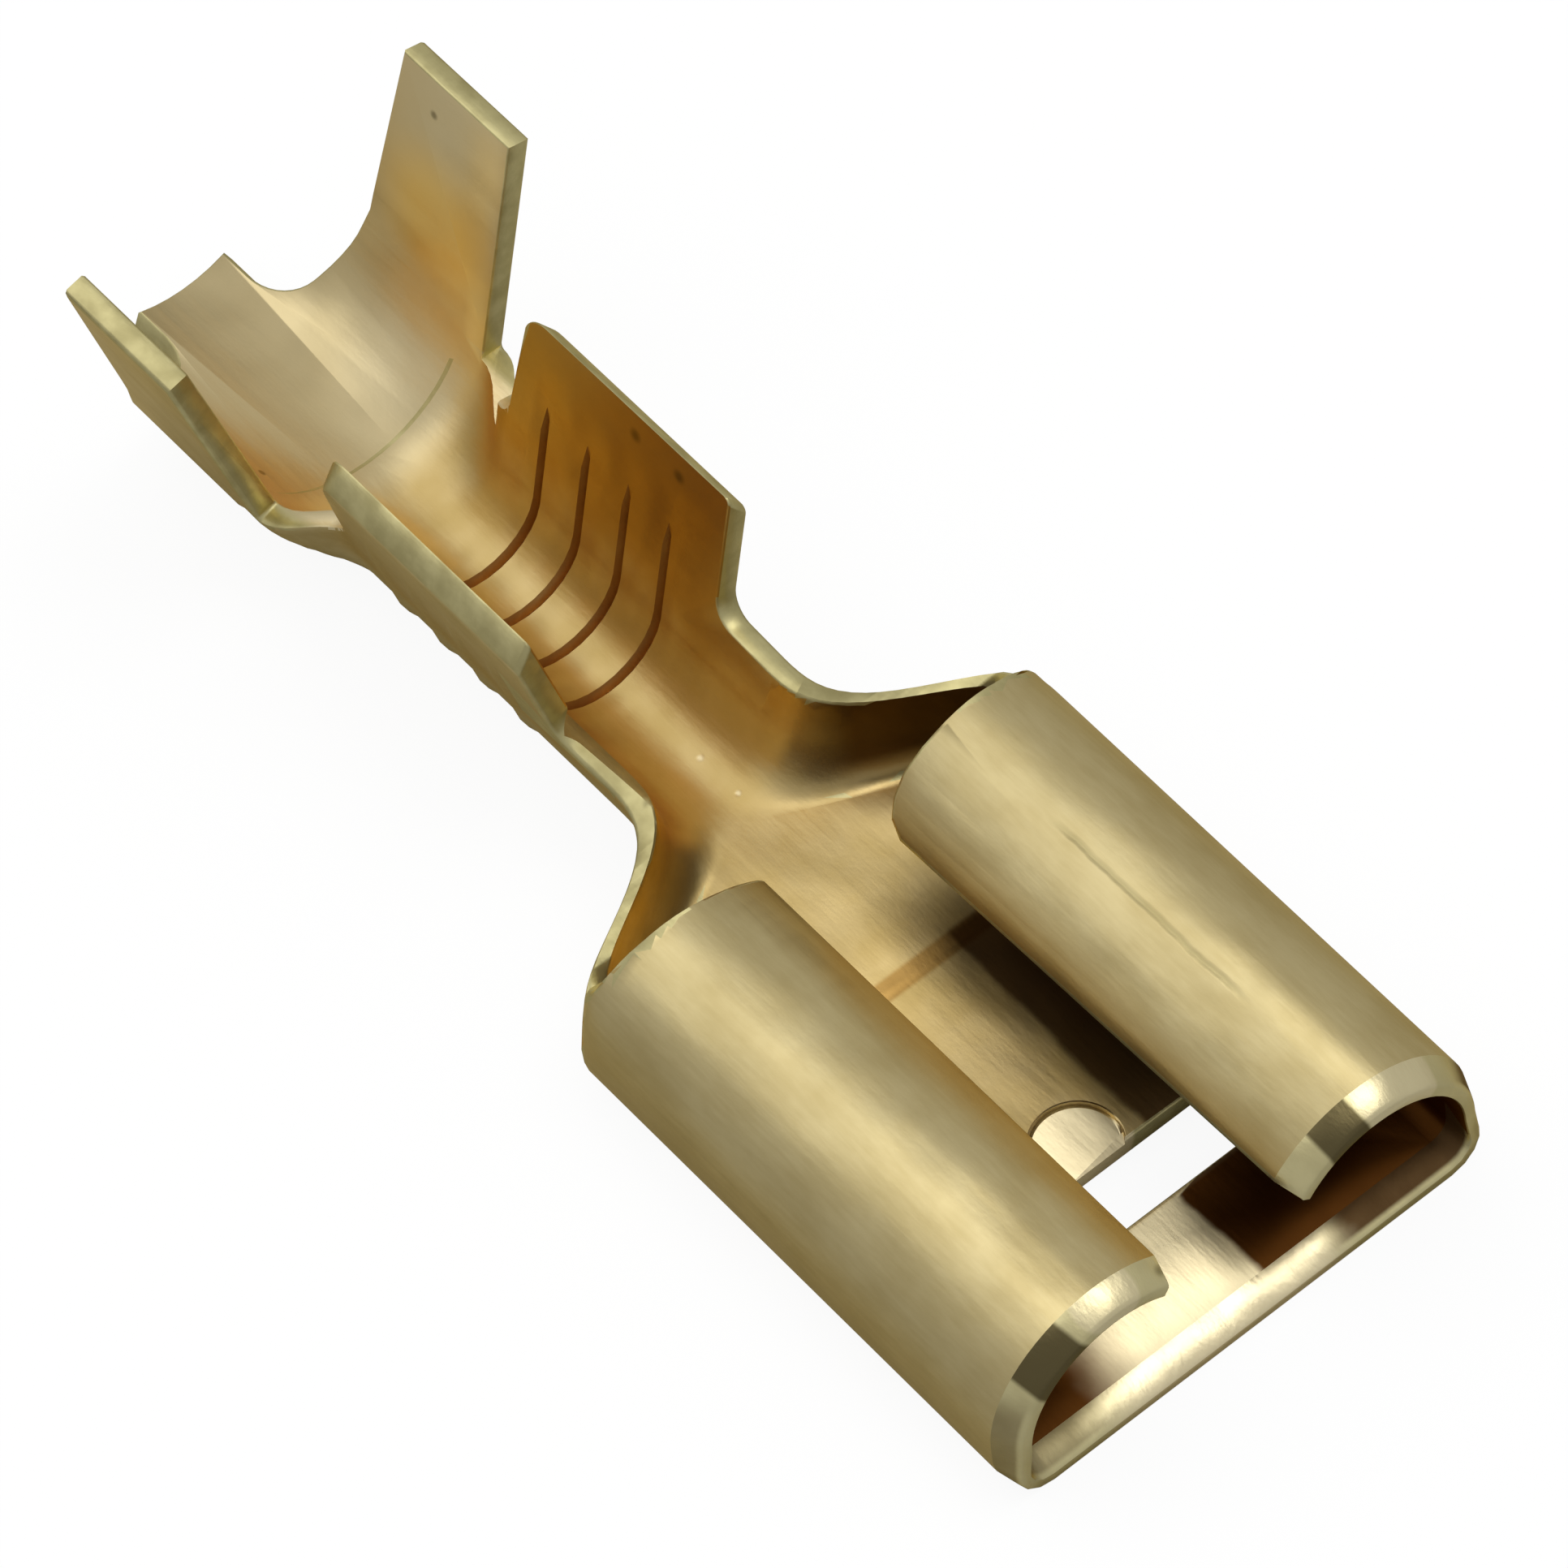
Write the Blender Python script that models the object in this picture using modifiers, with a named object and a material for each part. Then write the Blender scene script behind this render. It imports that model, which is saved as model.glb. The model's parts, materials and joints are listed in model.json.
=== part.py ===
"""Female spade terminal, folded from one stamped brass sheet.

Each half of the sheet is drawn flat as a blank with its sheared edges rounded, sliced across its
bends, coined and folded up, and the other half is its mirror image. X runs along the terminal
towards its mouth, Y across it and Z up. The origin is in the middle of the receptacle, on the
underside of its floor. Lengths are in millimetres until the sheet is folded.
"""
import bmesh
import bpy
from math import cos, pi, radians, sin, tan

MM = 0.001
TINY = 1e-4
MERGE_DISTANCE = 1e-6
SHARP_ANGLE = radians(35)

# Sheet: the shear rounds its outer edges off and leaves its inner edges crisp
SHEET = 0.33
OUTER_ROUNDING = 0.1
OUTER_ROUNDING_STEPS = 2
INNER_ROUNDING = 0.025
INNER_ROUNDING_STEPS = 1
ROUND_PROFILE = 0.5
EDGE_STEPS = 9

# Receptacle: a flat floor with a side wall and an inward curl on each side
RECEPTACLE_LENGTH = 8.2
RECEPTACLE_WIDTH = 7.34
FLOOR_BEND = 0.42
SIDE_WALL = 0.36
CURL_RADIUS = 1.5
CURL_ANGLE = radians(141)
CURL_STEPS = 24
BEND_STEPS = 4

# The curls' rear edge, as angles round the curl and distances in front of the receptacle's rear
CURL_REAR_EDGE = ((20, 0.12), (32, 0.3), (48, 0.42), (66, 0.51), (95, 0.6), (122, 0.68),
                  (133, 0.77), (141, 0.9), (146, 1.15))

# The left curl came off the press shorter than the right one
LEFT_CURL_ANGLE = radians(124)

# Mouth: coined outside round the curls and inside along the floor
MOUTH_COIN_LENGTH = 0.37
MOUTH_COIN_DEPTH = 0.16

# Window, seat and step in the receptacle's floor
WINDOW_FROM_MOUTH = 1.9
WINDOW_LENGTH = 0.93
WINDOW_WIDTH = 3.0
SEAT_RADIUS = 0.58
SEAT_REACH = 0.95
SEAT_DEPTH = 0.07
SEAT_STEPS = 32
STEP_FROM_MOUTH = 6.25
STEP_LENGTH = 0.2
STEP_HEIGHT = 0.08

# Neck: the floor narrows behind the receptacle while its walls keep their height
NECK_AHEAD_OF_REAR = 0.3
NECK_LENGTH = 2.4
NECK_STEPS = 20
CURL_UNROLL_STEPS = 4
NECK_NARROWING = 1.9
NECK_TUCK = radians(12)
NECK_FRONT_HEIGHT = 1.7
NECK_REAR_HEIGHT = 1.85
CURL_UNROLL_LENGTH = 0.7
FLOOR_BLEND = 1.2

# Wire barrel
WIRE_FRONT_FROM_MOUTH = 11.05
WIRE_LENGTH = 3.5
WIRE_RADIUS = 1.1
WIRE_LEAN = radians(13)
WIRE_GIRTH = 4.3
WIRE_FILLET = 0.35
WIRE_REAR_SLOPE = 0.5
WIRE_CORNER = 0.4
WIRE_FRONT_CORNER = 0.12
WIRE_WING_SLANT = radians(45)

# Grooves across the wire barrel
GROOVE_COUNT = 4
GROOVE_PITCH = 0.78
GROOVE_FIRST_FROM_FRONT = 0.98
GROOVE_HALF_WIDTH = 0.07
GROOVE_DEPTH = 0.1
RIDGE_HALF_WIDTH = 0.17
RIDGE_HEIGHT = 0.04
GROOVE_GIRTH = 3.05

# Gap and trough between the two barrels
GAP_GIRTH = 2.35
GAP_FRONT_FILLET = 0.3
GAP_REAR_FILLET = 0.06
GAP_STEPS = 9

# The right side of the gap was folded deeper than the left
RIGHT_GAP_GIRTH = 2.2

# Insulation barrel
INSULATION_FRONT_FROM_MOUTH = 16.25
INSULATION_LENGTH = 2.05
INSULATION_RADIUS = 1.88
INSULATION_LEAN = radians(14)
INSULATION_GIRTH = 5.88
INSULATION_STEP_BEHIND_FRONT = 0.42
INSULATION_STEP_LENGTH = 0.1
INSULATION_STEP_GIRTH = 2.1
INSULATION_REAR_SLOPE = 0.3
INSULATION_WAIST_GIRTH = 2.95

# Tail, where the blank was cut from its carrier strip
TAIL_FROM_MOUTH = 20.45
TAIL_WIDTH = 1.52
TAIL_STRAIGHT = 0.5
TAIL_SWEEP = 0.85
TAIL_SWEEP_END = -19

# The sheet is sliced along its length this far apart in girth, so that the troughs are round
GIRTH_SLICE = 0.24
GIRTH_SLICES = 12

# Places along X, worked out from the sizes above
MOUTH_X = RECEPTACLE_LENGTH / 2
REAR_X = MOUTH_X - RECEPTACLE_LENGTH
STEP_X = MOUTH_X - STEP_FROM_MOUTH
WINDOW_FRONT_X = MOUTH_X - WINDOW_FROM_MOUTH
WINDOW_REAR_X = WINDOW_FRONT_X - WINDOW_LENGTH
NECK_FRONT_X = REAR_X + NECK_AHEAD_OF_REAR
NECK_REAR_X = NECK_FRONT_X - NECK_LENGTH
WIRE_FRONT_X = MOUTH_X - WIRE_FRONT_FROM_MOUTH
WIRE_REAR_X = WIRE_FRONT_X - WIRE_LENGTH
WIRE_FOOT_X = WIRE_REAR_X - WIRE_REAR_SLOPE
INSULATION_FRONT_X = MOUTH_X - INSULATION_FRONT_FROM_MOUTH
INSULATION_REAR_X = INSULATION_FRONT_X - INSULATION_LENGTH
INSULATION_STEP_X = INSULATION_FRONT_X - INSULATION_STEP_BEHIND_FRONT
TAIL_X = MOUTH_X - TAIL_FROM_MOUTH
GROOVE_X = [WIRE_FRONT_X - GROOVE_FIRST_FROM_FRONT - GROOVE_PITCH * i for i in range(GROOVE_COUNT)]

# The receptacle's section, measured round the sheet from its middle
WALL_Y = (RECEPTACLE_WIDTH - SHEET) / 2
FLOOR_FLAT = WALL_Y - FLOOR_BEND
CURL_START = FLOOR_FLAT + FLOOR_BEND * pi / 2 + SIDE_WALL
CURL_AXIS_Y = WALL_Y - CURL_RADIUS
CURL_AXIS_Z = SHEET / 2 + FLOOR_BEND + SIDE_WALL


def ease(value, start, end):
    """Go smoothly from 0 at start to 1 at end."""
    share = min(max((value - start) / (end - start), 0.0), 1.0)
    return share * share * (3 - 2 * share)


def arc(centre, radius, start, end):
    """Points on an arc in the flat blank, with its angles in degrees."""
    angles = [radians(start + (end - start) * i / EDGE_STEPS) for i in range(EDGE_STEPS + 1)]
    return [(centre[0] + radius * cos(a), centre[1] + radius * sin(a)) for a in angles]


def section(x):
    """Straight and round stretches of the folded section at x, each a length and a radius."""
    spread = ease(max(x - NECK_REAR_X, 0) ** NECK_NARROWING, 0, NECK_LENGTH ** NECK_NARROWING)
    curled = ease(x, NECK_FRONT_X - CURL_UNROLL_LENGTH / 2, NECK_FRONT_X + CURL_UNROLL_LENGTH / 2)
    rear = ease(-x, -WIRE_FOOT_X, -INSULATION_FRONT_X)
    barrel_bend = WIRE_RADIUS + (INSULATION_RADIUS - WIRE_RADIUS) * rear
    barrel_lean = WIRE_LEAN + (INSULATION_LEAN - WIRE_LEAN) * rear
    bend = barrel_bend + (FLOOR_BEND - barrel_bend) * spread
    foot = barrel_bend + (WALL_Y - barrel_bend) * spread
    lean = barrel_lean * (1 - spread) - NECK_TUCK * spread * (1 - curled)
    stretches = [(foot - bend, None), (bend * (pi / 2 - lean), bend)]
    if curled > 0:
        stretches += [(SIDE_WALL, None), (CURL_RADIUS * pi, CURL_RADIUS / curled)]
    return stretches + [(INSULATION_GIRTH, None)]


def floor_height(x, girth):
    """Height of the sheet's middle plane over the ground, at the foot of the section."""
    behind_step = ease(-x, -STEP_X, -(STEP_X - STEP_LENGTH))
    at_wall = ease(girth, FLOOR_FLAT - FLOOR_BLEND, FLOOR_FLAT) * ease(x, NECK_REAR_X, NECK_FRONT_X)
    in_insulation = ease(-x, -INSULATION_STEP_X, -(INSULATION_STEP_X - INSULATION_STEP_LENGTH))
    on_trough = 1 - ease(girth, INSULATION_STEP_GIRTH, INSULATION_STEP_GIRTH + FLOOR_BLEND)
    return SHEET / 2 + STEP_HEIGHT * behind_step * (1 - at_wall) * (1 - in_insulation * on_trough)


def fold_point(x, girth, height):
    """Place of a blank point once the sheet is folded, by walking round the section."""
    y, z, angle = 0.0, floor_height(x, girth), 0.0
    left = girth
    for length, radius in section(x):
        step = min(left, length)
        if radius:
            y += radius * (sin(angle + step / radius) - sin(angle))
            z += radius * (cos(angle) - cos(angle + step / radius))
            angle += step / radius
        else:
            y += step * cos(angle)
            z += step * sin(angle)
        left -= step
        if left <= 0:
            break
    return x, y - height * sin(angle), z + height * cos(angle)


def girth_at_height(x, height):
    """Girth at which the folded sheet's middle plane climbs to a height."""
    low, high = 0.0, CURL_START + CURL_RADIUS
    while high - low > TINY:
        middle = (low + high) / 2
        if fold_point(x, middle, 0)[2] < height:
            low = middle
        else:
            high = middle
    return low


def neck_edge():
    """The neck's edge in the flat blank, from the wire barrel to the curl."""
    points = []
    start = WIRE_FRONT_X + WIRE_FILLET
    end = REAR_X
    for i in range(NECK_STEPS + 1):
        x = start + (end - start) * i / NECK_STEPS
        height = NECK_REAR_HEIGHT + (NECK_FRONT_HEIGHT - NECK_REAR_HEIGHT) * i / NECK_STEPS
        points.append((x, girth_at_height(x, height)))
    return points


def blank_outline():
    """Half of the blank, as points along X and round the girth, from the tail to the mouth."""
    tail_side = TAIL_WIDTH / 2
    neck = neck_edge()
    points = [(TAIL_X, 0), (TAIL_X, tail_side)]
    points += arc((TAIL_X + TAIL_STRAIGHT, tail_side + TAIL_SWEEP), TAIL_SWEEP, -90, TAIL_SWEEP_END)
    points += [(INSULATION_REAR_X - INSULATION_REAR_SLOPE, INSULATION_WAIST_GIRTH),
               (INSULATION_REAR_X, INSULATION_GIRTH),
               (INSULATION_FRONT_X, INSULATION_GIRTH)]
    points += arc((INSULATION_FRONT_X + GAP_REAR_FILLET, GAP_GIRTH + GAP_REAR_FILLET),
                  GAP_REAR_FILLET, 180, 270)
    points += arc((WIRE_FOOT_X - GAP_FRONT_FILLET, GAP_GIRTH + GAP_FRONT_FILLET),
                  GAP_FRONT_FILLET, 270, 345)
    points += arc((WIRE_REAR_X, WIRE_GIRTH - WIRE_CORNER), WIRE_CORNER, 165, 90)
    points += arc((WIRE_FRONT_X - WIRE_FRONT_CORNER, WIRE_GIRTH - WIRE_FRONT_CORNER), WIRE_FRONT_CORNER,
                  90, 0)
    points += arc((WIRE_FRONT_X + WIRE_FILLET, neck[0][1] + WIRE_FILLET), WIRE_FILLET, 180, 270)
    points += neck[1:]
    points += [(REAR_X + ahead, CURL_START + CURL_RADIUS * radians(angle))
               for angle, ahead in CURL_REAR_EDGE]
    points += [(MOUTH_X, CURL_START + CURL_RADIUS * CURL_ANGLE), (MOUTH_X, 0),
               (WINDOW_FRONT_X, 0), (WINDOW_FRONT_X, WINDOW_WIDTH / 2),
               (WINDOW_REAR_X, WINDOW_WIDTH / 2), (WINDOW_REAR_X, 0)]
    return points


def slice_places():
    """Where the blank is sliced across X and across its girth, so that it can bend there."""
    along = [MOUTH_X - MOUTH_COIN_LENGTH, STEP_X, STEP_X - STEP_LENGTH / 2, STEP_X - STEP_LENGTH]
    pitch = NECK_LENGTH / NECK_STEPS
    along += [NECK_REAR_X + pitch * i for i in range(NECK_STEPS + CURL_UNROLL_STEPS)]
    for centre in GROOVE_X:
        along += [centre + side * half for side in (-1, 1) for half in (RIDGE_HALF_WIDTH, GROOVE_HALF_WIDTH)]
        along.append(centre)
    gap = INSULATION_FRONT_X - WIRE_FOOT_X
    along += [WIRE_FOOT_X + gap * i / GAP_STEPS for i in range(GAP_STEPS + 1)]
    along += [INSULATION_STEP_X, INSULATION_STEP_X - INSULATION_STEP_LENGTH,
              INSULATION_REAR_X, TAIL_X + TAIL_STRAIGHT]
    girth = [GIRTH_SLICE * i for i in range(1, GIRTH_SLICES)]
    girth += [FLOOR_FLAT + FLOOR_BEND * pi / 2 * i / BEND_STEPS for i in range(BEND_STEPS + 1)]
    girth += [CURL_START + CURL_RADIUS * CURL_ANGLE * i / CURL_STEPS for i in range(CURL_STEPS)]
    return along, girth


def make_blank():
    """Draw the half blank as a flat slab with rounded edges, its middle plane at zero height."""
    blank = bmesh.new()
    ring = [blank.verts.new((x, girth, -SHEET / 2)) for x, girth in blank_outline()]
    face = blank.faces.new(ring)
    top = bmesh.ops.extrude_face_region(blank, geom=[face])
    lifted = [item for item in top["geom"] if isinstance(item, bmesh.types.BMVert)]
    bmesh.ops.translate(blank, verts=lifted, vec=(0, 0, SHEET))
    bmesh.ops.recalc_face_normals(blank, faces=blank.faces)
    for side, rounding, steps in ((-1, OUTER_ROUNDING, OUTER_ROUNDING_STEPS),
                                  (1, INNER_ROUNDING, INNER_ROUNDING_STEPS)):
        sheared = [e for e in blank.edges
                   if all(abs(v.co.z - side * SHEET / 2) < TINY for v in e.verts)
                   and any(v.co.y > TINY for v in e.verts)]
        bmesh.ops.bevel(blank, geom=sheared, offset=rounding, segments=steps, affect="EDGES",
                        profile=ROUND_PROFILE, clamp_overlap=True)
    return blank


def slice_blank(blank):
    """Cut the slab's faces along every bend, without parting it."""
    along, girth = slice_places()
    planes = [((x, 0, 0), (1, 0, 0)) for x in along] + [((0, g, 0), (0, 1, 0)) for g in girth]
    for point, normal in planes:
        everything = list(blank.verts) + list(blank.edges) + list(blank.faces)
        bmesh.ops.bisect_plane(blank, geom=everything, dist=TINY, plane_co=point, plane_no=normal)
    middle = [f for f in blank.faces if all(abs(v.co.y) < TINY for v in f.verts)]
    bmesh.ops.delete(blank, geom=middle, context="FACES_ONLY")


def coin_blank(blank):
    """Press the mouth's edges thin, the grooves into the wire barrel and a slant on its wings."""
    for vert in blank.verts:
        x, girth, height = vert.co
        on_curl = ease(girth, FLOOR_FLAT, CURL_START)
        into_mouth = max(x - MOUTH_X + MOUTH_COIN_LENGTH, 0) / MOUTH_COIN_LENGTH
        from_outside = 0.5 - height / SHEET
        squeeze = on_curl * from_outside - (1 - on_curl) * (1 - from_outside)
        vert.co.z += MOUTH_COIN_DEPTH * into_mouth * squeeze
        to_groove = min(abs(x - centre) for centre in GROOVE_X)
        if girth < GROOVE_GIRTH:
            if to_groove < TINY:
                vert.co.z -= GROOVE_DEPTH * (1 - from_outside)
            vert.co.z -= RIDGE_HEIGHT * from_outside * (1 - ease(to_groove, 0, RIDGE_HALF_WIDTH))
        if WIRE_FOOT_X - TINY < x < WIRE_FRONT_X + TINY:
            on_top = ease(girth, GROOVE_GIRTH, WIRE_GIRTH - WIRE_CORNER)
            vert.co.y -= SHEET * tan(WIRE_WING_SLANT) * from_outside * on_top


def fold_blank(blank):
    """Fold the sliced slab up, and turn millimetres into metres."""
    for vert in blank.verts:
        x, girth, height = vert.co
        vert.co = [MM * value for value in fold_point(x, girth, height)]


def brass():
    """Plain satin brass."""
    material = bpy.data.materials.new("brass")
    material.use_nodes = True
    shader = material.node_tree.nodes["Principled BSDF"]
    shader.inputs["Base Color"].default_value = (0.71, 0.56, 0.29, 1)
    shader.inputs["Metallic"].default_value = 1.0
    shader.inputs["Roughness"].default_value = 0.32
    return material


def cutter(collection, name):
    """Keep the active object out of sight, as a cutter."""
    made = bpy.context.object
    made.name = name
    made.hide_render = True
    made.display_type = "WIRE"
    for owner in made.users_collection:
        owner.objects.unlink(made)
    collection.objects.link(made)
    return made


def seat_cutter(collection):
    """A drum that presses the half-round seat into the tongue behind the window."""
    reach = SEAT_REACH - SEAT_RADIUS
    bpy.ops.mesh.primitive_cylinder_add(
        vertices=SEAT_STEPS, radius=MM * SEAT_RADIUS, depth=MM * SHEET,
        location=(MM * (WINDOW_REAR_X - reach), 0, MM * (SHEET * 1.5 - SEAT_DEPTH)))
    return cutter(collection, "seat_cutter")


def left_curl_cutter(collection):
    """A bar with its foot on the left curl's radius, which takes off what lies beyond it."""
    thick = 2 * SHEET
    turn = LEFT_CURL_ANGLE
    foot_y = -CURL_AXIS_Y - CURL_RADIUS * cos(turn)
    foot_z = CURL_AXIS_Z + CURL_RADIUS * sin(turn)
    bpy.ops.mesh.primitive_cube_add(
        size=1, rotation=(-turn, 0, 0),
        location=(0, MM * (foot_y + thick / 2 * sin(turn)), MM * (foot_z + thick / 2 * cos(turn))))
    bar = cutter(collection, "left_curl_cutter")
    bar.scale = (MM * 2 * RECEPTACLE_LENGTH, MM * thick, MM * thick)
    return bar


def right_gap_cutter(collection):
    """A block that takes the right side of the gap down, along the front of its insulation wing."""
    front = WIRE_FOOT_X - GAP_FRONT_FILLET
    middle = (front + INSULATION_FRONT_X) / 2
    x, y, z = fold_point(middle, RIGHT_GAP_GIRTH, 0)
    bpy.ops.mesh.primitive_cube_add(size=1, location=(MM * x, MM * y, MM * (z + SHEET)))
    block = cutter(collection, "right_gap_cutter")
    block.scale = (MM * (front - INSULATION_FRONT_X), MM * 4 * SHEET, MM * 2 * SHEET)
    return block


def build():
    for old in list(bpy.data.objects):
        bpy.data.objects.remove(old)
    parts = bpy.data.collections.new("female_spade_terminal")
    cutters = bpy.data.collections.new("cutters")
    for collection in (parts, cutters):
        bpy.context.scene.collection.children.link(collection)

    blank = make_blank()
    slice_blank(blank)
    coin_blank(blank)
    fold_blank(blank)
    mesh = bpy.data.meshes.new("terminal_sheet")
    blank.to_mesh(mesh)
    blank.free()
    sheet = bpy.data.objects.new("terminal_sheet", mesh)
    parts.objects.link(sheet)
    mesh.materials.append(brass())
    mesh.shade_smooth()
    mesh.set_sharp_from_angle(angle=SHARP_ANGLE)

    mirror = sheet.modifiers.new("other_half", "MIRROR")
    mirror.use_axis = (False, True, False)
    mirror.merge_threshold = MERGE_DISTANCE
    for tool in (seat_cutter(cutters), left_curl_cutter(cutters), right_gap_cutter(cutters)):
        cut = sheet.modifiers.new(tool.name, "BOOLEAN")
        cut.operation = "DIFFERENCE"
        cut.solver = "EXACT"
        cut.object = tool


build()
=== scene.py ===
"""Female spade terminal on a pale studio floor.

One brass sheet, stamped flat and folded up. X runs towards its mouth, Y across it and Z up, in
metres, with the origin under the middle of the receptacle's floor.
"""

import bpy
from math import pi, radians
from mathutils import Matrix, Vector
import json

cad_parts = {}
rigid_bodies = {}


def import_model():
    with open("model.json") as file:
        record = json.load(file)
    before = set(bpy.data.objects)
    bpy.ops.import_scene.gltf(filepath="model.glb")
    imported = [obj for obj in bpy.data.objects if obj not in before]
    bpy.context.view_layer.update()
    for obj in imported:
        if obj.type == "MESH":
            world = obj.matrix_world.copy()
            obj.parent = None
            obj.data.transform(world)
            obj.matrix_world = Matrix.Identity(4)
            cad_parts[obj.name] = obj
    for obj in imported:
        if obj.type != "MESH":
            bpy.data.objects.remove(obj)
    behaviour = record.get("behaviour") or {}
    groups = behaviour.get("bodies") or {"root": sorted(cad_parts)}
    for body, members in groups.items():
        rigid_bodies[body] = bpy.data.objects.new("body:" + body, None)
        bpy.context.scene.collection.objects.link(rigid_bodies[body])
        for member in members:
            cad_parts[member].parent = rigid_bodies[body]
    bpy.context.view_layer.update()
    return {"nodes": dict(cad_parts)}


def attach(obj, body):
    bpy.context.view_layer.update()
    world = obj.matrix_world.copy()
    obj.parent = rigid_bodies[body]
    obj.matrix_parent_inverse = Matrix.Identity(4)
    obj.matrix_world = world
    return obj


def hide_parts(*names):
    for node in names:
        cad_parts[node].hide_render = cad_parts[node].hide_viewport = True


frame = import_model()
scene = bpy.context.scene

# ---------------------------------------------------------------------------------------------
# The camera: a macro lens high over the mouth's right side, looking down along the terminal, with
# the barrels pointing up and to the left. It is turned a little clockwise about its own axis.
# ---------------------------------------------------------------------------------------------
CAMERA_PLACE = Vector((0.06206, -0.04324, 0.11680))
CAMERA_RIGHT = Vector((0.6369, 0.7668, -0.0794)).normalized()
CAMERA_AHEAD = Vector((-0.4765, 0.3106, -0.8225)).normalized()
CAMERA_UP = CAMERA_RIGHT.cross(CAMERA_AHEAD).normalized()

lens = bpy.data.cameras.new("macro")
lens.sensor_width = 36
lens.lens = 268.7
lens.clip_start = 0.001
camera = bpy.data.objects.new("camera", lens)
camera.matrix_world = Matrix((
    (*CAMERA_RIGHT, 0), (*CAMERA_UP, 0), (*-CAMERA_AHEAD, 0), (0, 0, 0, 1))).transposed()
camera.location = CAMERA_PLACE
scene.collection.objects.link(camera)
scene.camera = camera


# ---------------------------------------------------------------------------------------------
# The floor: a plain white card, far wider than the terminal. To the camera it glows nearly white
# by itself, and it still takes the terminal's shadow.
# ---------------------------------------------------------------------------------------------
class Shade:
    """A shader socket that arithmetic works on, in the node tree of one material or world."""

    def __init__(self, nodes, socket):
        self.nodes = nodes
        self.socket = socket

    def node(self, kind, settings=None, out=0, **values):
        """Add a node with its settings, and the values or links of its sockets.

        A socket is given by its name with _ for each space, or by _ and its number.
        """
        made = self.nodes.new(kind)
        for name, value in (settings or {}).items():
            setattr(made, name, value)
        for name, value in values.items():
            key = int(name[1:]) if name[0] == "_" else name.replace("_", " ")
            if isinstance(value, Shade):
                self.nodes.id_data.links.new(value.socket, made.inputs[key])
            else:
                made.inputs[key].default_value = value
        return Shade(self.nodes, made.outputs[out] if made.outputs else None)

    def math(self, operation, *others):
        values = {f"_{i}": value for i, value in enumerate((self, *others))}
        return self.node("ShaderNodeMath", {"operation": operation}, **values)

    def fade(self, start, end):
        """Go smoothly from 0 at start to 1 at end, or back down where start is the higher."""
        return self.node("ShaderNodeMapRange", {"interpolation_type": "SMOOTHSTEP"},
                         Value=self, From_Min=start, From_Max=end)

    def span(self, low, high, soft):
        """1 between low and high, fading out just inside each of them."""
        return self.fade(low, low + soft) * self.fade(high, high - soft)

    def noise(self, scale, detail=2.0, stretch=(1, 1, 1)):
        """Soft noise round 0, on a point stretched along its axes."""
        place = self.node("ShaderNodeMapping", Vector=self, Scale=stretch)
        return self.node("ShaderNodeTexNoise", Vector=place, Scale=scale, Detail=detail) - 0.5

    def spot(self, centre, inside, outside):
        """A round spot about a point: 1 up to one distance from it, and 0 past another."""
        away = self.node("ShaderNodeVectorMath", {"operation": "DISTANCE"}, out="Value",
                         _0=self, _1=centre)
        return away.fade(outside, inside)

    def blend(self, first, second):
        """Mix two colours, with this value as the share of the second."""
        first, second = [c if isinstance(c, Shade) else (*c, 1) for c in (first, second)]
        return self.node("ShaderNodeMix", {"data_type": "RGBA"}, out=2,
                         _0=self, _6=first, _7=second)

    def __add__(self, other):
        return self.math("ADD", other)

    def __sub__(self, other):
        return self.math("SUBTRACT", other)

    def __rsub__(self, other):
        return self.node("ShaderNodeMath", {"operation": "SUBTRACT"}, _0=other, _1=self)

    def __mul__(self, other):
        return self.math("MULTIPLY", other)

    def __abs__(self):
        return self.math("ABSOLUTE")

    __radd__ = __add__
    __rmul__ = __mul__


def shader_nodes(owner):
    """Empty the node tree of a material or world, and return a Shade to add nodes with."""
    owner.use_nodes = True
    owner.node_tree.nodes.clear()
    return Shade(owner.node_tree.nodes, None)


CARD_WIDTH = 4
CARD_GREY = (0.5, 0.5, 0.5, 1)
CARD_GLOW = 1.15
GLOW_SHARE = 0.8

card = bpy.data.materials.new("white_card")
make = shader_nodes(card)
seen = make.node("ShaderNodeLightPath", out="Is Camera Ray")
paper = make.node("ShaderNodeBsdfDiffuse", Color=CARD_GREY)
glow = make.node("ShaderNodeEmission", Color=(1, 1, 1, 1), Strength=CARD_GLOW)
make.node("ShaderNodeOutputMaterial",
          Surface=make.node("ShaderNodeMixShader", _0=seen * GLOW_SHARE, _1=paper, _2=glow))

bpy.ops.object.select_all(action="DESELECT")
bpy.ops.mesh.primitive_plane_add(size=CARD_WIDTH, location=(0, 0, 0))
floor = bpy.context.object
floor.name = "floor"
floor.data.materials.append(card)

# ---------------------------------------------------------------------------------------------
# The light: a white room, one soft lamp high over the barrels and a smaller one over the mouth,
# as in a product studio. The camera sees the room as plain white.
# ---------------------------------------------------------------------------------------------
ROOM_STRENGTH = 0.5

room = bpy.data.worlds.new("room")
scene.world = room
make = shader_nodes(room)
seen = make.node("ShaderNodeLightPath", out="Is Camera Ray")
strength = ROOM_STRENGTH + seen * (1 - ROOM_STRENGTH)
make.node("ShaderNodeOutputWorld",
          Surface=make.node("ShaderNodeBackground", Color=(1, 1, 1, 1), Strength=strength))

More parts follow.
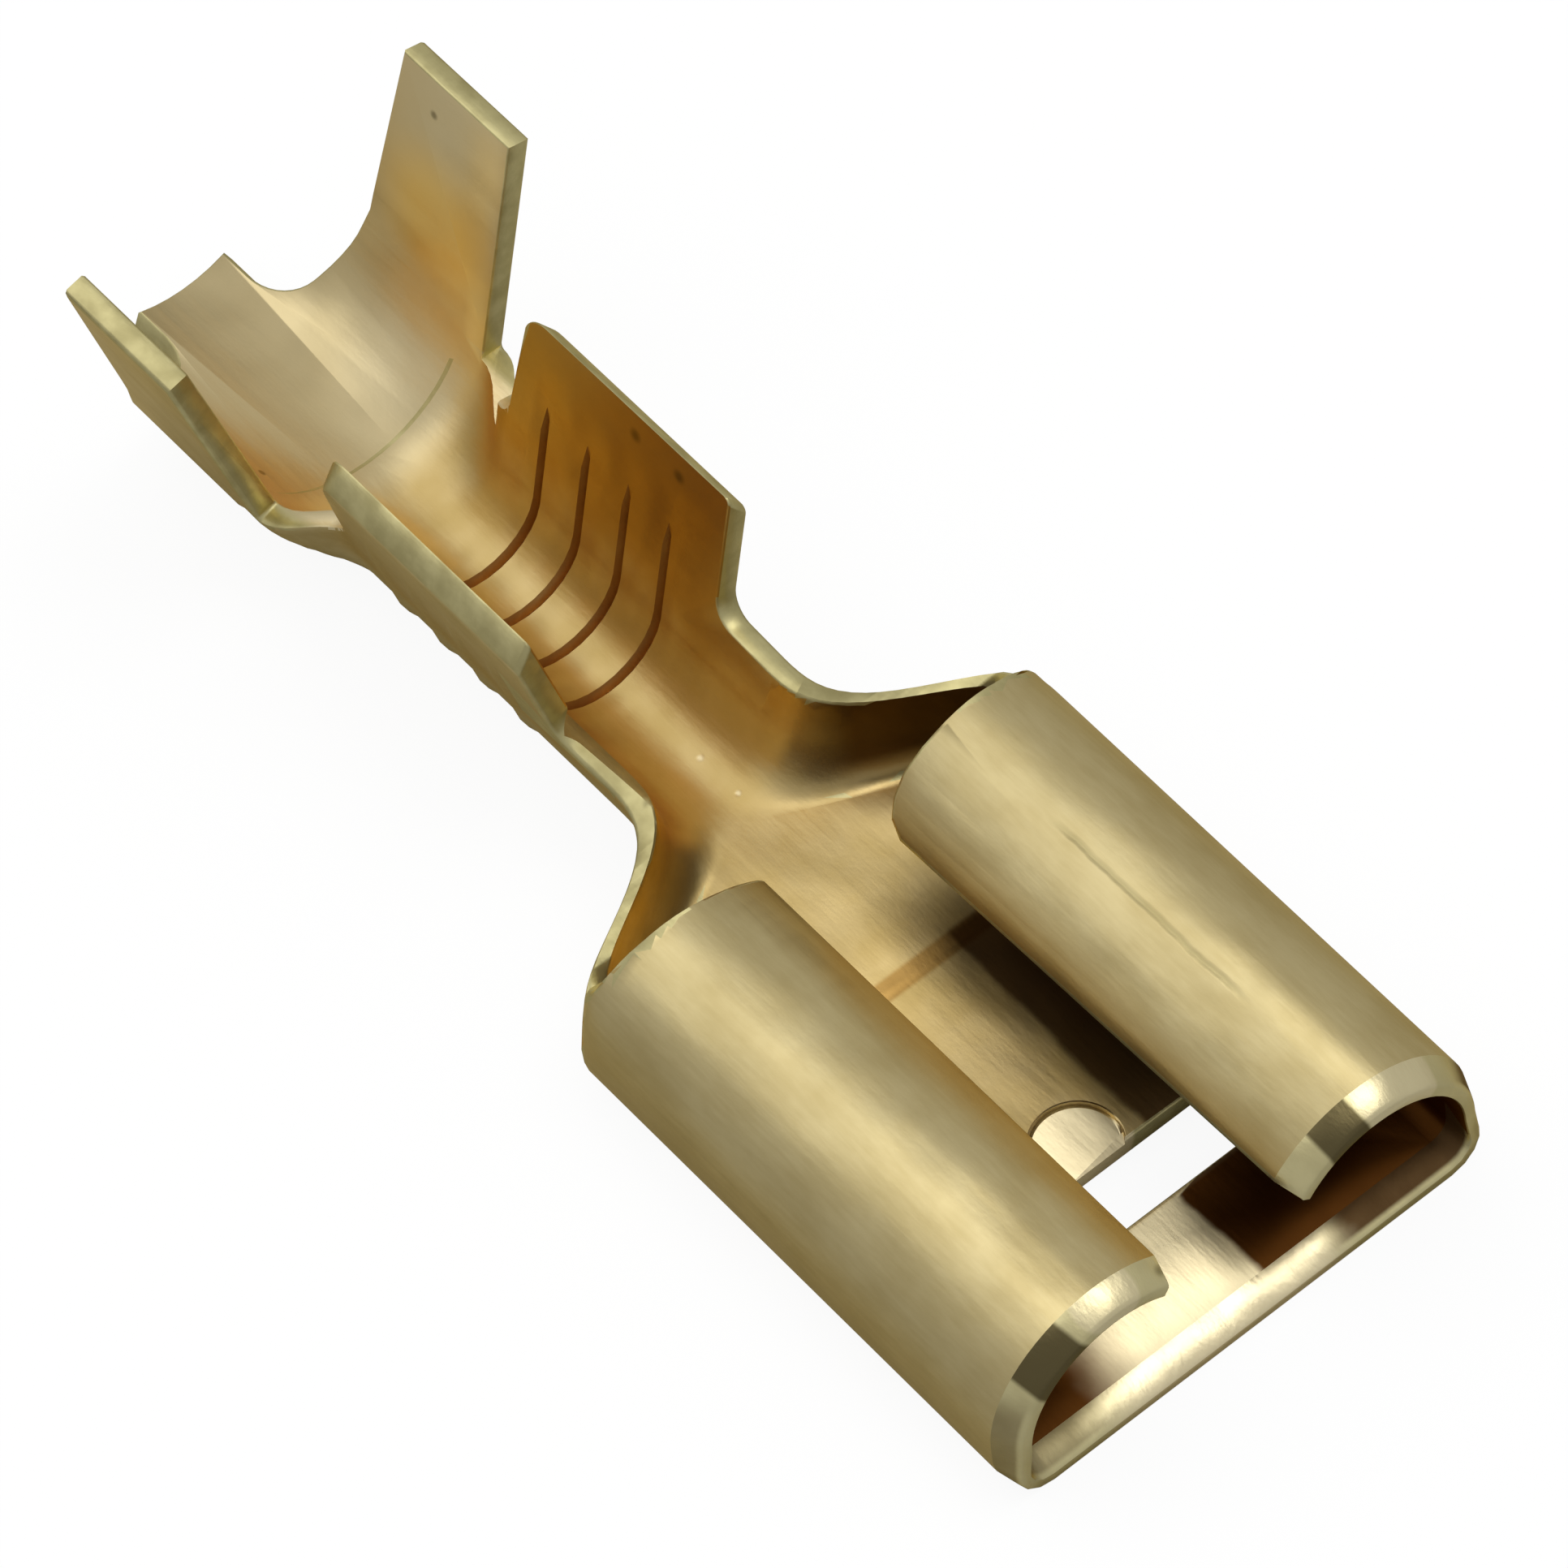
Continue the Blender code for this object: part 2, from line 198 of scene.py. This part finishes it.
for name, place, size, power in (
        ("over_barrels", (-0.125, -0.055, 0.235), 0.28, 0.185),
        ("over_mouth", (0.035, 0.078, 0.24), 0.12, 0.12)):
    lamp = bpy.data.lights.new(name, "AREA")
    lamp.size = size
    lamp.energy = power
    holder = bpy.data.objects.new(name, lamp)
    holder.location = place
    holder.rotation_euler = (-Vector(place)).to_track_quat("-Z", "Y").to_euler()
    scene.collection.objects.link(holder)

# ---------------------------------------------------------------------------------------------
# The folded sheet: satin brass strip a third of a millimetre thick, blanked to its outline, coined
# at the mouth and folded up in steps. The tools rub its outer skin pale; its inner skin is deeper
# in colour, partly as painted reflection of the brass in its own folds, and its sheared edges
# are a little greener. Its sizes are in millimetres.
# ---------------------------------------------------------------------------------------------
PER_MM = 1000

ROLLED_PALE = (0.68, 0.57, 0.30)
ROLLED_WORN = (0.56, 0.45, 0.21)
FREE_EDGE_SHADE_GOLD = (0.52, 0.33, 0.08)
INNER_GOLD = (0.63, 0.48, 0.22)
INNER_WORN = (0.55, 0.40, 0.15)
PAINTED_SHADE_BROWN = (0.09, 0.032, 0.006)
REFLECTED_ORANGE = (0.58, 0.34, 0.07)
BARREL_PAINTED_LIGHT = (0.82, 0.69, 0.40)
WING_REFLECTION_GOLD = (0.98, 0.68, 0.22)
TROUGH_HIGHLIGHT = (0.88, 0.75, 0.46)
STEP_SHADE_BROWN = (0.38, 0.21, 0.05)
RUBBED_AND_HIGHLIGHT = (0.91, 0.79, 0.50)
COINED = (0.80, 0.71, 0.40)
SHEARED = (0.68, 0.61, 0.31)
SHEARED_WORN = (0.50, 0.44, 0.21)
CREASE_SHADE_OLIVE = (0.36, 0.31, 0.14)
GROOVE_SHADE_BROWN = (0.42, 0.20, 0.05)
STAIN_AND_SHADE = (0.10, 0.075, 0.03)
OUTER_GLANCE = (1.0, 0.80, 0.42)
INNER_GLANCE = (1.0, 0.70, 0.30)
EDGE_GLANCE = (1.0, 0.82, 0.45)

RIGHT_CREST = 1.9
GAP_MIDDLE = -0.25
CREASE_DEPTH = 0.012
LEFT_RISE = 0.34
LEFT_FALL = 0.17
RIGHT_FALL = 0.15

SEAT = (0.9, 0.0, 0.33)
SEAT_RADIUS = 0.54
BRIDGE_REAR = 2.25
FORWARD_SLOPE = 0.22
NICK_DEPTH = 0.006
FIRST_GROOVE = -7.93
GROOVE_PITCH = 0.78
HOLLOW_DEPTH = 0.012


def satin(point, scale=1.0):
    """Height of the rolled grain and of the sheet's slight waves."""
    coarse = point.noise(9.0, 2.0, (0.12, 1, 1)) * 0.003
    fine = point.noise(22.0, 2.0, (0.5, 1, 1)) * 0.0012
    waves = point.noise(1.1, 1.0, (0.6, 1, 1)) * 0.05
    return (coarse + fine + waves) * scale


def start_brass(name):
    """A new material, with the place on the piece as a point and as its x, y and z."""
    material = bpy.data.materials.new(name)
    make = shader_nodes(material)
    point = make.node("ShaderNodeMapping", Vector=make.node("ShaderNodeTexCoord", out="Object"),
                      Scale=(PER_MM, PER_MM, PER_MM))
    axes = [make.node("ShaderNodeSeparateXYZ", out=axis, Vector=point) for axis in range(3)]
    return material, point, *axes


def finish_brass(colour, glancing, roughness, height):
    """Close a brass material. The glancing colour tints what it reflects at a low angle."""
    relief = height.node("ShaderNodeBump", Strength=1.0, Distance=1 / PER_MM, Height=height)
    brass = height.node("ShaderNodeBsdfPrincipled", Base_Color=colour, Metallic=1.0,
                        Specular_Tint=(*glancing, 1), Roughness=roughness, Normal=relief)
    height.node("ShaderNodeOutputMaterial", Surface=brass)


# The outer skin. The right curl has a fine crease along its crest, painted dark as painted shade.
# The left curl's outer side is a little flatter than round, both fall off faster inwards, and both
# are painted a deeper gold towards their free edges as painted shade, where they turn down.
outer_skin, point, x, y, z = start_brass("outer_skin")
on_top = z.fade(0.3, 1.9)
wander = point.noise(1.5, 2.0, (1, 0, 0)) * 0.12
crease = abs(y - RIGHT_CREST + wander).fade(0.07, 0.0) * x.span(-1.7, 2.1, 0.6) * on_top
left_outer = y.fade(-1.7, -3.4)
left_inner = (y + wander).fade(-2.1, -0.9)
right_inner = y.fade(2.5, 0.6)
free_edges = abs(y - GAP_MIDDLE).fade(1.5, 0.8) * z.fade(1.0, 1.6)

cloud = point.noise(1.6, 3.0, (0.7, 1, 1))
streaks = point.noise(14.0, 2.0, (0.15, 1, 1))
colour = (0.5 + cloud * 1.2 + streaks * 0.5).fade(0.0, 1.0).blend(ROLLED_PALE, ROLLED_WORN)
# Painted shade: the curls turn a deeper gold towards their free edges, where they turn down.
colour = (free_edges * 0.75).blend(colour, FREE_EDGE_SHADE_GOLD)
# Painted shade: a dark olive line along the right curl's crease, beside its bump.
colour = (crease * 0.45).blend(colour, CREASE_SHADE_OLIVE)
curls = left_outer * LEFT_RISE - left_inner * LEFT_FALL - right_inner * RIGHT_FALL
finish_brass(colour, OUTER_GLANCE, 0.43 + cloud * 0.10,
             satin(point) - crease * CREASE_DEPTH + curls * on_top)

# The inner skin. It is painted deep brown under the curls as painted shade, orange up the wire
# barrel's wings as painted reflection and pale in the insulation barrel as painted light, with a
# painted reflection and a painted highlight in that barrel, and a brown band of painted shade
# at the floor's step. The bridge in front of the window is painted bright as a painted highlight,
# the seat is painted pale as well, and both lean forward. Soft hollows run with the wire barrel's
# grooves.
inner_skin, point, x, y, z = start_brass("inner_skin")
cloud = point.noise(1.3, 3.0)
bridge = x.fade(2.2, 2.3)
right_side = (y + cloud * 0.2 + bridge * 0.35).fade(0.72, 0.84)
left_side = (y + cloud * 0.5).fade(-1.2, -2.3)
on_floor = z.fade(0.8, 0.5) * x.fade(-2.45, -2.3)
on_wall = z.fade(0.5, 0.8) * (x + y * 0.8).fade(-4.6, -3.6)
under_curls = (right_side + left_side) * (on_floor + on_wall)
wire_wings = (z + cloud * 0.8).fade(0.8, 2.0) * x.fade(-12.0, -11.0) * x.fade(-3.6, -5.0)
insulation_barrel = x.fade(-11.8, -12.4)
wing_reflection = point.spot((-13.3, 2.1, 2.9), 0.3, 1.4)
trough_highlight = point.spot((-13.2, 1.1, 1.0), 0.2, 1.5)
band = x.span(-2.42, -2.08, 0.08)
seat = point.spot(SEAT, SEAT_RADIUS, SEAT_RADIUS + 0.06)
stains = (point.spot((-13.09, -1.22, 0.84), 0.03, 0.07)
          + point.spot((-13.53, 2.35, 4.46), 0.02, 0.09)
          + point.spot((-8.69, 1.46, 3.53), 0.02, 0.14)
          + point.spot((-7.86, 1.46, 3.52), 0.02, 0.14))
nicks = (point.spot((-6.34, 0.20, 0.43), 0.01, 0.07)
         + point.spot((-5.63, 0.21, 0.43), 0.01, 0.06))

# The inner skin's colour is deeper than the outer's, partly as painted reflection.
colour = (0.5 + cloud * 1.6).fade(0.0, 1.0).blend(INNER_GOLD, INNER_WORN)
# Painted light: the open insulation barrel is painted paler.
colour = (insulation_barrel * 0.8).blend(colour, BARREL_PAINTED_LIGHT)
# Painted reflection: the wire barrel's wings are painted orange.
colour = (wire_wings * 0.8).blend(colour, REFLECTED_ORANGE)
# Painted reflection: a golden spot on the insulation barrel's wing.
colour = (wing_reflection * 0.9).blend(colour, WING_REFLECTION_GOLD)
# Painted highlight: a bright spot in the insulation barrel's trough.
colour = (trough_highlight * 0.9).blend(colour, TROUGH_HIGHLIGHT)
# Painted shade: a brown band across the floor's step.
colour = (band * 0.8).blend(colour, STEP_SHADE_BROWN)
# Painted highlight: the bridge in front of the window is painted bright, and the seat pale as well.
colour = ((bridge * z.fade(0.9, 0.6) + seat) * 0.9).blend(colour, RUBBED_AND_HIGHLIGHT)
# Painted shade: deep brown under the curls, on the floor and walls, deepest towards the mouth.
colour = (under_curls * (0.84 + bridge * 0.16)).blend(colour, PAINTED_SHADE_BROWN)
colour = (stains * 0.6).blend(colour, STAIN_AND_SHADE)
colour = (nicks * 0.6).blend(colour, RUBBED_AND_HIGHLIGHT)

ripple = ((x - FIRST_GROOVE) * (2 * pi / GROOVE_PITCH)).math("COSINE")
hollows = ripple * x.span(-10.8, -7.4, 0.4) * z.fade(3.4, 2.8)
leaning = (x - BRIDGE_REAR).math("MAXIMUM", 0.0) + seat * (x - SEAT[0])
finish_brass(colour, INNER_GLANCE, 0.40 + cloud * 0.12,
             satin(point) - leaning * FORWARD_SLOPE - nicks * NICK_DEPTH - hollows * HOLLOW_DEPTH)

# The sheared edges, which are greener and rougher. With them go the coined mouth, which is smoother
# and has a dark block of painted reflection on each curl, a brown lead-in of painted shade at
# its sides and painted highlights on its lip and chamfers; the walls of the grooves, painted
# brown as painted shade, and of the seat, painted pale; and the little step in front of the
# insulation barrel, painted pale as a painted highlight.
sheared_edges, point, x, y, z = start_brass("sheared_edges")
cloud = point.noise(2.5, 3.0)
coined = x.fade(3.55, 3.65)
lead_in = (coined * x.fade(4.07, 4.0) * z.fade(1.9, 1.5)
           * (y.fade(1.1, 1.7) + y.fade(-1.8, -2.6) * 0.5))
left_block = abs((y + 2.93) * 0.82 + (z - 2.26) * 0.57).fade(0.46, 0.38) * z.fade(1.3, 1.5)
right_block = abs((y - 1.55) * 0.96 + (z - 2.51) * 0.28).fade(0.34, 0.27) * z.fade(1.6, 1.8)
burr = point.spot((3.94, -1.11, 2.35), 0.06, 0.14)
grooves = x.span(-10.6, -7.7, 0.1) * z.fade(3.3, 3.1)
step = x.span(-12.5, -10.8, 0.2) * abs(y).fade(1.7, 1.5)
lip = (coined * z.fade(0.5, 0.4)
       * (y + cloud * 0.4).fade(1.7, 1.0) * (y - cloud * 0.4).fade(-2.6, -1.5))
chamfer_highlights = (point.spot((3.92, -1.95, 2.62), 0.42, 0.5)
            + point.spot((3.92, 2.5, 2.5), 0.58, 0.66))
seat_wall = point.spot(SEAT, SEAT_RADIUS + 0.12, SEAT_RADIUS + 0.18)

colour = (0.5 + cloud * 2.0).fade(0.0, 1.0).blend(SHEARED, SHEARED_WORN)
colour = (coined * 0.5).blend(colour, COINED)
# Painted shade: the lead-in at the mouth's sides is painted deep brown.
colour = (lead_in * 0.92).blend(colour, PAINTED_SHADE_BROWN)
# Painted reflection: a dark block on each curl's coined face. A dark spot is painted at the burr
# too.
colour = ((left_block + right_block) * coined * 0.92 + burr * 0.7).blend(colour, STAIN_AND_SHADE)
# Painted shade: the walls of the grooves are painted brown.
colour = (grooves * 0.85).blend(colour, GROOVE_SHADE_BROWN)
# Painted highlight: the little step in front of the insulation barrel is painted pale.
colour = step.blend(colour, RUBBED_AND_HIGHLIGHT)
# Painted highlight on the mouth's lip and chamfers; the seat's wall is painted pale too.
colour = (lip + chamfer_highlights * 0.6 + seat_wall).blend(colour, RUBBED_AND_HIGHLIGHT)
finish_brass(colour, EDGE_GLANCE, 0.45 + cloud * 0.15 - coined * 0.12 + lead_in * 0.2,
             satin(point, 1.5))

# The sheet itself is the CAD's own shape, on which each skin and the edges get their material
EDGE, INNER, OUTER = range(3)
MICROMETRE = 1e-6
THROUGH_SHEET = 0.45
OTHER_SKIN = -0.925
WIRE_BARREL_AXIS = 1.43
WING_REAR, WING_FRONT, WING_SLANT = -10.7, -6.9, 2.5
RIDGES_FRONT, RIDGES_TOP = -7.6, 3.2
FLAT = radians(0.05)
SHARP = radians(46)

node = frame["nodes"]["terminal_sheet"]
sheet = bpy.data.objects.new("folded_sheet", node.data.copy())
scene.collection.objects.link(sheet)
sheet.data.materials.clear()
for material in (sheared_edges, inner_skin, outer_skin):
    sheet.data.materials.append(material)

# Merge the copy's loose triangles, and drop the normals and sharp edges that came with them
bpy.ops.object.select_all(action="DESELECT")
bpy.context.view_layer.objects.active = sheet
sheet.select_set(True)
bpy.ops.mesh.customdata_custom_splitnormals_clear()
bpy.ops.object.mode_set(mode="EDIT")
bpy.ops.mesh.select_all(action="SELECT")
bpy.ops.mesh.remove_doubles(threshold=MICROMETRE)
bpy.ops.mesh.mark_sharp(clear=True)
bpy.ops.mesh.select_mode(type="FACE")
bpy.ops.mesh.select_all(action="DESELECT")
bpy.ops.object.mode_set(mode="OBJECT")

# A face is skin where the other skin lies straight behind it through the sheet, and so is the strip
# of a wire wing that has the slanted top behind it. The seed for the outer skin is the underside.
bpy.context.view_layer.update()
for face in sheet.data.polygons:
    place = face.center * PER_MM
    found, _, behind, _ = sheet.ray_cast(face.center - face.normal * MICROMETRE, -face.normal,
                                         distance=THROUGH_SHEET / PER_MM)
    wing_strip = (WING_REAR < place.x < WING_FRONT and place.z > WING_SLANT
                  and abs(face.normal.z) < 0.3 and face.normal.y * face.center.y < 0)
    is_skin = wing_strip or (found and behind.dot(face.normal) < OTHER_SKIN)
    face.material_index = INNER if is_skin else EDGE
    face.select = face.normal.z < -0.999 and place.z < 0.01

bpy.ops.object.mode_set(mode="EDIT")
bpy.ops.mesh.select_linked(delimit={"MATERIAL"})
sheet.active_material_index = OUTER
bpy.ops.object.material_slot_assign()
bpy.ops.mesh.select_all(action="SELECT")
bpy.ops.mesh.dissolve_limited(angle_limit=FLAT, delimit={"MATERIAL"})
bpy.ops.object.mode_set(mode="OBJECT")

# The soft ridges that the grooves raise on the outside are outer skin too
for face in sheet.data.polygons:
    place = face.center * PER_MM
    outwards = place - Vector((place.x, 0, WIRE_BARREL_AXIS))
    if (face.material_index == EDGE and WING_REAR < place.x < RIDGES_FRONT
            and place.z < RIDGES_TOP and face.normal.dot(outwards) > 0):
        face.material_index = OUTER

bpy.ops.object.shade_smooth_by_angle(angle=SHARP)

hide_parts("terminal_sheet")
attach(sheet, "root")

# ---------------------------------------------------------------------------------------------
# The renders' colours use the Standard view transform.
# ---------------------------------------------------------------------------------------------
scene.view_settings.view_transform = "Standard"
